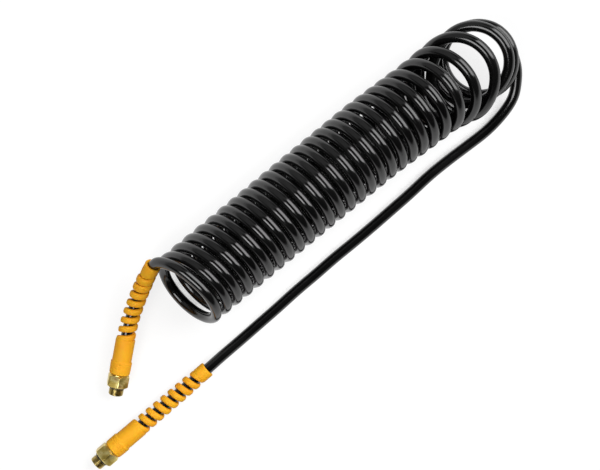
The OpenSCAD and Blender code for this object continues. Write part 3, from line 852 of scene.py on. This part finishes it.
@dataclass(frozen=True)
class Studio:
    """Floor, world and lamps.

    The floor is bright to the eye where open_air or more of the sky above it is open within shade_reach, and
    dark where closed_in or less is. The backdrop is a pale band round the horizon, from the height
    backdrop_foot of a view's direction, where it is full, to backdrop_top, where it ends.
    """

    floor_size: float = 30.0
    floor_colour: float = 0.25
    floor_roughness: float = 0.9
    floor_lift: float = 0.8
    shade_reach: float = 0.06
    shade_samples: int = 8
    closed_in: float = 0.1
    open_air: float = 0.24
    ambient: float = 0.03
    backdrop_foot: float = 0.12
    backdrop_top: float = 0.22
    lamps: tuple[Softbox, ...] = (
        Softbox("broad_softbox", 48, -9, 23, 24, 4.6),
        Softbox("narrow_softbox", -31, -5, 13, 15, 6.0),
        Softbox("far_panel", -5, 50, 40, 28, 0.32),
    )

    def build_floor(self) -> None:
        """Makes the pale floor, which keeps the hose's shadow and darkens where the coil closes it in."""
        half = self.floor_size / 2
        mesh = bpy.data.meshes.new("floor")
        corners = [(-half, -half, 0), (half, -half, 0), (half, half, 0), (-half, half, 0)]
        mesh.from_pydata(corners, [], [(0, 1, 2, 3)])
        t = NodeTree("pale_floor")
        path = t.add("ShaderNodeLightPath").outputs
        mirrored = t.calc("MAXIMUM", path["Is Glossy Ray"], path["Is Transmission Ray"])
        seen = t.calc("MAXIMUM", path["Is Camera Ray"], mirrored)
        shade = t.add("ShaderNodeAmbientOcclusion", {"Distance": self.shade_reach}, samples=self.shade_samples)
        bright = t.span(shade.outputs["AO"], 0.0, self.floor_lift, self.closed_in, self.open_air)
        dull = {"Roughness": self.floor_roughness, "Specular_IOR_Level": 0.0}
        lift = {"Emission_Color": WHITE, "Emission_Strength": t.calc("MULTIPLY", seen, bright)}
        mesh.materials.append(t.finish(Base_Color=(*[self.floor_colour] * 3, 1), **dull, **lift))
        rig.stage(linked("floor", mesh))

    def build_world(self) -> None:
        """Makes the world: dim even light above, and a pale backdrop that is seen round the horizon."""
        t = NodeTree("studio", world=True)
        path = t.add("ShaderNodeLightPath").outputs
        way = t.add("ShaderNodeTexCoord").outputs["Generated"]
        height = t.add("ShaderNodeSeparateXYZ", {0: way}).outputs["Z"]
        low = t.span(height, 0.0, 1.0, self.backdrop_top, self.backdrop_foot)
        mirrored = t.calc("MAXIMUM", path["Is Glossy Ray"], path["Is Transmission Ray"])
        seen = t.calc("MAXIMUM", path["Is Camera Ray"], t.calc("MULTIPLY", mirrored, low))
        strength = t.calc("MULTIPLY_ADD", seen, self.floor_lift, self.ambient)
        bpy.context.scene.world = t.finish(Color=WHITE, Strength=strength)

    def build(self) -> None:
        """Makes the floor, the world and the lamps."""
        self.build_floor()
        self.build_world()
        for lamp in self.lamps:
            lamp.build()
        bpy.context.scene.view_settings.view_transform = "Standard"


# ---- The hose


FRONT = Fitting((-69.0, -24.0, 14.414), 219.5, 9.0)
REAR = Fitting((-127.5, -83.5, 12.545), 181.3, 0.0)
COIL_RINGS = CoilShape().rings()
FRONT_ROUTE = Route(
    FRONT.straight((0, 20, 40))
    + [
        (-22, 13.5, 24), (-8, 22, 28.5), (6, 29.5, 34.5), (19, 35.5, 42), (27, 38.5, 48), (35, 41.5, 54),
        (43, 41.5, 63), (49.5, 36.5, 71.5), (53.5, 30.5, 77.5), (57.5, 24.5, 82.5), COIL_RINGS[0],
    ]
)
REAR_ROUTE = Route(
    REAR.straight((0, 40, 123, 136))
    + [
        (30, -79.5, 9.5), (54, -79, 7), (82, -78, 6), (110, -77, 6), (137, -75.5, 6), (165, -75, 6),
        (192, -74, 6), (219, -74, 6), (246, -73.5, 6), (274, -72.5, 6), (301, -71.5, 6), (329, -69.5, 6),
        (356, -69.5, 6), (383, -70.5, 6), (411, -71, 6), (425.9, -69.1, 7.6), (440.5, -65.9, 10.9),
        COIL_RINGS[-1],
    ]
)
COIL_ROUTE = Route(COIL_RINGS)


@dataclass
class AirHose:
    """The whole hose: front lead, coil and rear lead in one tube, open at both mouths."""

    mouth: float = 5.97
    guard_length: float = 136.0
    step: float = 3.5
    sides: int = 24
    raw_step: float = 2.0
    bore_depth: float = 27.0
    softening: float = 7.0
    softening_steps: int = 12
    guard_fade: float = 20.0
    coil_reach: float = 60.0
    coil_fade: float = 40.0
    finish: Finish = GlossyPolyamide()
    length: float = field(default=0.0, init=False)
    path: np.ndarray | None = field(default=None, init=False)

    def middle_line(self) -> tuple[np.ndarray, float, float]:
        """Works out the hose's middle line.

        Returns:
            Its points at even steps, and the lengths at which the coil starts and ends.
        """
        leads = (FRONT_ROUTE, REAR_ROUTE)
        front, rear = (lead.at(np.arange(self.mouth, lead.runs[-1] - 1, self.raw_step)) for lead in leads)
        coil = COIL_ROUTE.at(np.arange(0, COIL_ROUTE.runs[-1], self.raw_step))
        raw = np.vstack([front, coil, rear[::-1]])
        runs = np.concatenate([[0.0], np.cumsum(np.linalg.norm(np.diff(raw, axis=0), axis=1))])
        coil_from, coil_to = runs[len(front)], runs[len(front) + len(coil) - 1]
        even = np.linspace(0, runs[-1], round(runs[-1] / self.step) + 1)
        line = np.stack([np.interp(even, runs, raw[:, i]) for i in range(3)], -1)
        return self.softened(line, even, coil_from, coil_to), coil_from, coil_to

    def softened(self, line: np.ndarray, runs: np.ndarray, coil_from: float, coil_to: float) -> np.ndarray:
        """Rounds off the line where the leads run into the coil.

        Args:
            line: Points of the line at even steps.
            runs: Length along the line at each point.
            coil_from: Length at which the coil starts.
            coil_to: Length at which it ends.

        Returns:
            The rounded line.
        """
        reach = self.softening_steps
        weights = np.exp(-0.5 * (np.arange(-reach, reach + 1) * self.step / self.softening) ** 2)
        padded = np.pad(line, ((reach, reach), (0, 0)), mode="edge")
        soft = np.stack([np.convolve(padded[:, i], weights / weights.sum(), "valid") for i in range(3)], -1)
        past_front = eased_step((runs - self.guard_length) / self.guard_fade)
        before_rear = eased_step((runs[-1] - self.guard_length - runs) / self.guard_fade)
        near_front = eased_step((coil_from + self.coil_reach - runs) / self.coil_fade)
        near_rear = eased_step((runs - coil_to + self.coil_reach) / self.coil_fade)
        share = (past_front * before_rear * np.maximum(near_front, near_rear))[:, None]
        return line * (1 - share) + soft * share

    def rings(self, line: np.ndarray) -> tuple[np.ndarray, np.ndarray]:
        """Carries a round section along the line without twist.

        Args:
            line: The hose's middle line.

        Returns:
            The directions to each ring's points, and the angles of those points.
        """
        ways = units(np.gradient(line, axis=0))
        normals = np.empty_like(ways)
        normal = np.array([0.0, 0.0, 1.0])
        for i, way in enumerate(ways):
            normal = normal - (normal @ way) * way
            normal /= np.linalg.norm(normal)
            normals[i] = normal
        angle = np.arange(self.sides) * 2 * np.pi / self.sides
        other = np.cross(ways, normals)
        out = np.cos(angle)[None, :, None] * normals[:, None] + np.sin(angle)[None, :, None] * other[:, None]
        return out, angle

    def build(self) -> Piece:
        """Makes the hose and lets it stretch with the front end.

        Returns:
            The hose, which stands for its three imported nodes.
        """
        line, coil_from, coil_to = self.middle_line()
        out, angle = self.rings(line)
        deep = round(self.bore_depth / self.step)
        count = len(line)
        order = [deep, 0, *range(count), count - 1, count - 1 - deep]
        radii = np.array([BORE_R, BORE_R] + [HOSE_R] * count + [BORE_R, BORE_R])
        rings = line[order][:, None] + radii[:, None, None] * out[order]
        rings[..., 2] = np.maximum(rings[..., 2], 0)
        skin = Skin()
        skin.grid(rings)
        hose = skin.piece("air_hose", self.finish.build(), corner=50)
        runs = np.array(order) * self.step
        self.unroll(hose, radii, angle, runs)
        line_m = placed(line)
        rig.blend(hose, Body.COIL.value, Body.FRONT_END.value, line_m[-1], line_m[0])
        share = np.clip((coil_to - runs) / (coil_to - coil_from), 0, 1)
        follow = np.repeat(share, self.sides).astype(np.float32)
        hose.data.attributes["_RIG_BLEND"].data.foreach_set("value", follow)
        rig.replaces(hose, "hose_coil", "hose_front_lead", "hose_rear_lead")
        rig.slot(hose, "hose")
        self.length = float(np.linalg.norm(np.diff(line_m, axis=0), axis=1).sum())
        self.path = line_m
        return hose

    def unroll(self, hose: Piece, radii: np.ndarray, angle: np.ndarray, runs: np.ndarray) -> None:
        """Stores where each point would lie on the hose pulled straight, for the finish to read.

        Args:
            hose: The hose.
            radii: Radius of each ring.
            angle: Angles of a ring's points.
            runs: Length along the hose at each ring.
        """
        across = radii[:, None] * np.cos(angle)
        up = radii[:, None] * np.sin(angle)
        flat = np.stack([across, up, np.broadcast_to(runs[:, None], across.shape)], -1) * MM
        made = hose.data.attributes.new("unrolled", "FLOAT_VECTOR", "POINT")
        made.data.foreach_set("vector", flat.astype(np.float32).ravel())

    def declare(self, hose: Piece, pieces: Sequence[Piece | str]) -> None:
        """Says that the hose is a free cord, with the given pieces on it."""
        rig.cord(
            hose, exit=self.path[0], length=self.length, diameter=2 * HOSE_R * MM, far_end="fitting",
            stiffness="stiff", lay="coiled", path=self.path, with_pieces=list(pieces),
        )


# ---- Flex guards


@dataclass
class FlexGuard:
    """Moulded guard over the hose's end: a body with a grip band, one winding rib and a collar."""

    name: str
    fitting: Fitting
    route: Route
    phase: float
    body_length: float = 40.0
    body_r: float = 10.6
    band_length: float = 14.0
    band_rise: float = 0.95
    flex_length: float = 83.0
    rib_pitch: float = 10.4
    rib_width: float = 6.8
    rib_r: float = 10.2
    rib_narrowing: float = 0.45
    rib_root: float = 0.5
    collar_length: float = 13.0
    collar_r: float = 8.8
    bore: float = 6.15
    ferrule_room: float = 8.06
    ferrule_end: float = -33.0
    grip_ring_depth: float = 0.3
    grip_ring_pitch: float = 2.0
    grip_ring_half: float = 0.28
    grip_rings: float = 7.6
    closing: float = 0.0
    closing_from: float = 78.0
    rings_per_turn: int = 48

    def body_profile(self) -> list[tuple[float, float]]:
        """Gives the body's closed section, with the hexagon at height 0.

        Returns:
            Pairs of radius and height.
        """
        r, far, start = self.body_r, -self.body_length, -self.band_length
        outer = arc(r - 1.5, far + 1.3, 1.5, 1.3, range(0, 91, 15))
        outer += [(r, z) for z in (-32.0, -24.0, start - 1.6)]
        outer += [
            (r + self.band_rise * eased_step(share), start - 1.1 + 1.3 * share) for share in np.linspace(0, 1, 6)
        ]
        half_pitch = self.grip_ring_pitch / 2
        for z in np.arange(start + 0.6, -1.3, 0.25):
            swell = self.band_rise * (1 - 0.5 * ((z - start) / self.band_length) ** 2)
            off_ring = (z - start - 1.35) % self.grip_ring_pitch - half_pitch
            ring = self.grip_ring_depth * math.exp(-((off_ring / self.grip_ring_half) ** 2))
            outer.append((r + swell - (ring if z < start + self.grip_rings else 0.0), z))
        outer += arc(r - 0.55, -1.3, 0.9, 0.9, range(100, 181, 20))
        room, bottom = self.ferrule_room, self.ferrule_end
        return outer + [(room, -0.4), (room, bottom), (self.bore, bottom), (self.bore, far), outer[0]]

    def collar_profile(self) -> list[tuple[float, float]]:
        """Gives the collar's closed section, from its inner end.

        Returns:
            Pairs of radius and height.
        """
        r, end = self.collar_r, self.collar_length
        outer = arc(r - 1.3, 1.5, 1.3, 1.5, range(0, 91, 15)) + [(r, 5.0), (r, 9.0)]
        outer += arc(r - 0.8, end - 0.8, 0.8, 0.8, range(90, 181, 18))
        mouth = arc(self.bore + 0.6, end - 0.6, 0.6, 0.6, range(180, 271, 30))
        return outer + mouth + [(self.bore, 0.0), outer[0]]

    def rib_section(self, inner: np.ndarray, outer: np.ndarray, half: np.ndarray) -> np.ndarray:
        """Gives the rib's rounded section for each ring.

        Args:
            inner: Inner radius at each ring.
            outer: Outer radius at each ring.
            half: Half of the rib's width at each ring.

        Returns:
            For each ring, points as distance along the hose and out from it.
        """
        corner = np.radians(np.linspace(0, 90, 8))
        along = np.concatenate([[1.0], 0.28 + 0.72 * np.cos(corner)])
        share = np.concatenate([[0.0], 0.42 + 0.58 * np.sin(corner)])
        along, share = np.concatenate([along, -along[::-1]]), np.concatenate([share, share[::-1]])
        out = inner[:, None] + share[None] * (outer - inner)[:, None]
        return np.stack([half[:, None] * along[None], out], -1)

    def rib(self) -> np.ndarray:
        """Winds the rib round the hose, from inside the body to inside the collar.

        Returns:
            Rings of points along the rib.
        """
        flex_end = self.body_length + self.flex_length
        start = self.body_length + self.rib_width / 2 - self.rib_pitch
        end = flex_end - self.rib_width / 2 + self.rib_pitch
        turns = (end - start) / self.rib_pitch
        share = np.linspace(0, 1, round(turns * self.rings_per_turn) + 1)
        run = start + (end - start) * share
        angle = np.radians(self.phase + 360 * turns * share)
        outer = np.interp(
            run, [self.body_length, flex_end - self.rib_pitch, flex_end],
            [self.rib_r, self.rib_r - self.rib_narrowing, self.collar_r - 0.25],
        )
        lie = self.rib_width / 2
        inner = np.interp(
            run, [self.body_length - lie, self.body_length + lie, flex_end - lie, flex_end + lie],
            [self.bore + self.rib_root, self.bore, self.bore, self.bore + self.rib_root],
        )
        way = self.route.way(run)
        side = units(np.cross([0.0, 0.0, 1.0], way))
        up = np.cross(way, side)
        out = np.cos(angle)[:, None] * up - np.sin(angle)[:, None] * side
        closed = eased_step((run - self.closing_from) / (flex_end - self.closing_from))
        half = self.rib_width / 2 + self.closing * closed * (self.rib_pitch - self.rib_width) / 2
        section = self.rib_section(inner, outer, half)
        middle = self.route.at(run)
        rings = middle[:, None] + section[..., :1] * way[:, None] + section[..., 1:] * out[:, None]
        return rings[:, ::-1]

    def build(self, finish: Material) -> Piece:
        """Makes the guard.

        Args:
            finish: The moulding's material.

        Returns:
            The guard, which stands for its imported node.
        """
        skin = Skin()
        skin.grid(self.fitting.carry(turned(self.body_profile())))
        rings = self.rib()
        first = skin.grid(rings)
        skin.lid(first, rings.shape[1], True)
        skin.lid(first + (len(rings) - 1) * rings.shape[1], rings.shape[1], False)
        collar_run = self.body_length + self.flex_length
        way = self.route.way(collar_run + self.collar_length / 2)[0]
        side = units(np.cross([0.0, 0.0, 1.0], way))
        frame_axes = np.stack([side, np.cross(way, side), way])
        skin.grid(self.route.at(collar_run)[0] + turned(self.collar_profile()) @ frame_axes)
        guard = skin.piece(f"{self.name}_guard", finish, merge=0.0005, corner=40)
        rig.replaces(guard, f"{self.name}_flex_guard")
        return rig.slot(guard, "guard")


# ---- Swivel studs


@dataclass
class SwivelStud:
    """Plated stud: a chamfered hexagon, the seal's groove and a male thread of 1.5 mm pitch."""

    name: str
    fitting: Fitting
    roll: float
    flats: float = 22.0
    length: float = 14.0
    washer_face: float = 0.8
    washer_r: float = 10.3
    groove: float = 2.0
    groove_r: float = 6.8
    thread_r: float = 8.0
    thread_length: float = 7.7
    pitch: float = 1.5
    thread_depth: float = 0.9195
    thread_columns: int = 96
    bore: float = 4.0
    bore_depth: float = 12.0
    pocket_r: float = 7.06
    pocket_depth: float = 6.0
    corner_round: float = 0.35
    chamfer_share: float = 1.15
    back_slope: float = 0.6
    front_slope: float = 0.75

    def outline(self) -> np.ndarray:
        """Gives the hexagon's outline, with slightly rounded corners.

        Returns:
            Points round the axis.
        """
        inset = (self.flats / 2 - self.corner_round) / math.cos(math.radians(30))
        points = []
        for corner in range(6):
            middle = math.radians(60 * corner - self.roll)
            centre = inset * np.array([math.cos(middle), math.sin(middle)])
            angles = [middle + math.radians(a) for a in (-30, -15, 0, 15, 30)]
            points += [centre + self.corner_round * np.array([math.cos(a), math.sin(a)]) for a in angles]
        sharp = np.array(points)
        full = []
        for i, point in enumerate(sharp):
            full.append(point)
            if i % 5 == 4:
                following = sharp[(i + 1) % len(sharp)]
                full += [point + (following - point) * share for share in (0.15, 0.35, 0.5, 0.65, 0.85)]
        return np.array(full)

    def hexagon(self) -> np.ndarray:
        """Builds the hexagon, from the guard's side to the groove.

        Returns:
            Its rings.
        """
        outline = self.outline()
        r = np.linalg.norm(outline, axis=1)
        ways = outline / r[:, None]
        corner = self.flats / 2 / math.cos(math.radians(30))
        cut = self.chamfer_share * (corner - self.flats / 2)
        inner = corner - cut
        back = self.washer_face + self.back_slope * (r - inner)
        front = self.length - self.front_slope * (r - inner)
        groove_end = self.length + self.groove
        rows = [
            (self.pocket_r, self.pocket_depth), (self.pocket_r, 0), (self.washer_r - 0.2, 0),
            (self.washer_r, 0.2), (self.washer_r, self.washer_face), (inner, self.washer_face),
            (r - 0.08, back - 0.05), (r, back + 0.1), (r, front - 0.1), (r - 0.08, front + 0.05),
            (inner, self.length), (self.groove_r + 0.3, self.length), (self.groove_r, self.length + 0.3),
            (self.groove_r, groove_end), (self.thread_r - 1, groove_end),
        ]
        whole = np.ones_like(r)
        rows = [(radius * whole, height * whole) for radius, height in rows]
        return np.array([np.column_stack([ways * radius[:, None], height]) for radius, height in rows])

    def thread(self) -> np.ndarray:
        """Winds the thread's form, cut off square at both ends.

        Returns:
            Rows along the thread's length, of points that follow the helix.
        """
        start = self.length + self.groove
        end = start + self.thread_length
        flank = np.linspace(0, 1, 5)
        rise, fall = zip(0.1 + 0.33 * flank, flank), zip(0.57 + 0.33 * flank, 1 - flank)
        form = [(0.0, 0.0), *rise, *fall, (1.0, 0.0)]
        root = self.thread_r - self.thread_depth
        steps = (self.thread_length / self.pitch + 1) * self.thread_columns
        turns = np.arange(0, steps + 1) / self.thread_columns
        rows = []
        for place, height in form:
            z = np.clip(start + self.pitch * (turns - 1 + place), start, end)
            limit = np.minimum(self.thread_r - 1 + (z - start), self.thread_r - np.maximum(0, z - (end - 1)))
            r = np.minimum(root + (self.thread_r - root) * height, limit)
            rows.append(np.stack([r * np.cos(2 * np.pi * turns), r * np.sin(2 * np.pi * turns), z], -1))
        return np.array(rows)

    def paint_thread_shade(self, stud: Piece, thread_shade_finish: Material) -> None:
        """Gives the thread a darker copy of the plating: painted shade of its grooves.

        Args:
            stud: The stud.
            thread_shade_finish: The thread's material.
        """
        stud.data.materials.append(thread_shade_finish)
        foot, axis = placed(np.asarray(self.fitting.place)), self.fitting.axes()[2]
        start = (self.length + self.groove / 4) * MM
        for face in stud.data.polygons:
            if (np.array(face.center) - foot) @ axis > start:
                face.material_index = 1

    def build(self, finish: Material, thread_shade_finish: Material) -> Piece:
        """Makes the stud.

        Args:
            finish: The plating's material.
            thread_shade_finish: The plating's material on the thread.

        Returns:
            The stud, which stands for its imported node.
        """
        end = self.length + self.groove + self.thread_length
        skin = Skin()
        skin.grid(self.fitting.carry(self.hexagon()))
        skin.grid(self.fitting.carry(self.thread()), closed=False)
        tip = [(self.thread_r - 1, end), (self.bore + 0.5, end), (self.bore, end - 0.5), (self.bore, self.bore_depth)]
        skin.grid(self.fitting.carry(turned(tip, self.thread_columns)))
        stud = skin.piece(f"{self.name}_stud_body", finish, merge=0.002, corner=28)
        # The thread's faces take the darker plating, which paints the shade of its grooves.
        self.paint_thread_shade(stud, thread_shade_finish)
        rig.replaces(stud, f"{self.name}_hex_stud")
        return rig.slot(stud, "stud")


# ---- Pieces kept from the frame


@dataclass(frozen=True)
class KeptPieces:
    """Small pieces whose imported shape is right: they only get their finish."""

    ends: tuple[str, ...] = ("front", "rear")

    def dress(self) -> list[str]:
        """Gives each kept node its material.

        Returns:
            The names of the nodes.
        """
        rubber = SmallMoulding("black_nitrile_rubber", 0.008, 0.02, 0.42, 0.6, 900, 5200, (0.25, 0.02)).build()
        finishes = {
            "port_seal": rubber,
            "swivel_seal": rubber,
            "nipple": TurnedMetal("plated_nipple_steel", (0.55, 0.45, 0.20), (0.70, 0.60, 0.32)).build(),
            "ferrule": TurnedMetal("crimped_ferrule_steel", (0.42, 0.42, 0.41), (0.60, 0.60, 0.58)).build(),
            "snap_ring": TurnedMetal("oiled_spring_steel", (0.10, 0.10, 0.11), (0.18, 0.18, 0.19)).build(),
            "thrust_washer": SmallMoulding(
                "off_white_acetal", (0.74, 0.73, 0.68), (0.83, 0.82, 0.78), 0.34, 0.46, 500, 4200, (0.15, 0.02)
            ).build(),
        }
        dressed = []
        for end in self.ends:
            for kind, material in finishes.items():
                node = frame["nodes"][f"{end}_{kind}"]
                node.data.materials.clear()
                node.data.materials.append(material)
                dressed.append(node.name)
        return dressed


@dataclass(frozen=True)
class HoseEnd:
    """One end of the hose: its guard and its stud, and the bodies that they move with."""

    name: str
    fitting: Fitting
    route: Route
    rib_phase: float
    hexagon_roll: float
    slot_closing: float
    hose_body: Body
    stud_body: Body

    def build(self, moulding: Material, plating: Material, thread_shade_plating: Material) -> list[Piece]:
        """Makes the guard and the stud, and lets them ride.

        Args:
            moulding: The guard's material.
            plating: The stud's material.
            thread_shade_plating: The material of its thread.

        Returns:
            The two pieces.
        """
        flex_guard = FlexGuard(self.name, self.fitting, self.route, self.rib_phase, closing=self.slot_closing)
        guard = flex_guard.build(moulding)
        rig.ride(guard, self.hose_body.value)
        stud = SwivelStud(self.name, self.fitting, self.hexagon_roll).build(plating, thread_shade_plating)
        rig.ride(stud, self.stud_body.value)
        return [guard, stud]


def write_sizes() -> None:
    """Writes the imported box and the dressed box, as plain lists."""
    boxes = {"cad": cad_box, "visual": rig.bounds()}
    plain = {name: [[float(x) for x in corner] for corner in box] for name, box in boxes.items()}
    with open("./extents.json", "w") as out:
        json.dump(plain, out)


def main() -> None:
    """Builds the piece classes in order and reports each piece."""
    logging.basicConfig(level=logging.INFO, format="%(name)s: %(message)s")
    Viewpoint().build()
    air_hose = AirHose()
    hose = air_hose.build()
    log.info("%s: %.3f m long, %d points", hose.name, air_hose.length, len(hose.data.vertices))
    moulding = MouldedElastomer().build()
    plating = YellowPlating().build()
    # A darker copy of the plating for the threads: painted shade of their grooves.
    thread_shade_plating = YellowPlating(
        olive=(0.32, 0.25, 0.08), gold=(0.44, 0.34, 0.12), pale=(0.54, 0.44, 0.18), rose=(0.40, 0.25, 0.10),
        name="yellow_passivated_thread_painted_shade",
    ).build()
    ends = (
        HoseEnd("front", FRONT, FRONT_ROUTE, 65.0, 13.0, 0.8, Body.FRONT_END, Body.FRONT_STUD),
        HoseEnd("rear", REAR, REAR_ROUTE, 121.0, 9.0, 0.0, Body.COIL, Body.REAR_STUD),
    )
    pieces = [piece for end in ends for piece in end.build(moulding, plating, thread_shade_plating)]
    for piece in pieces:
        log.info("%s: %d points", piece.name, len(piece.data.vertices))
    dressed = KeptPieces().dress()
    log.info("kept pieces dressed: %s", ", ".join(dressed))
    air_hose.declare(hose, pieces + dressed)
    Studio().build()
    write_sizes()


if __name__ == "__main__":
    main()
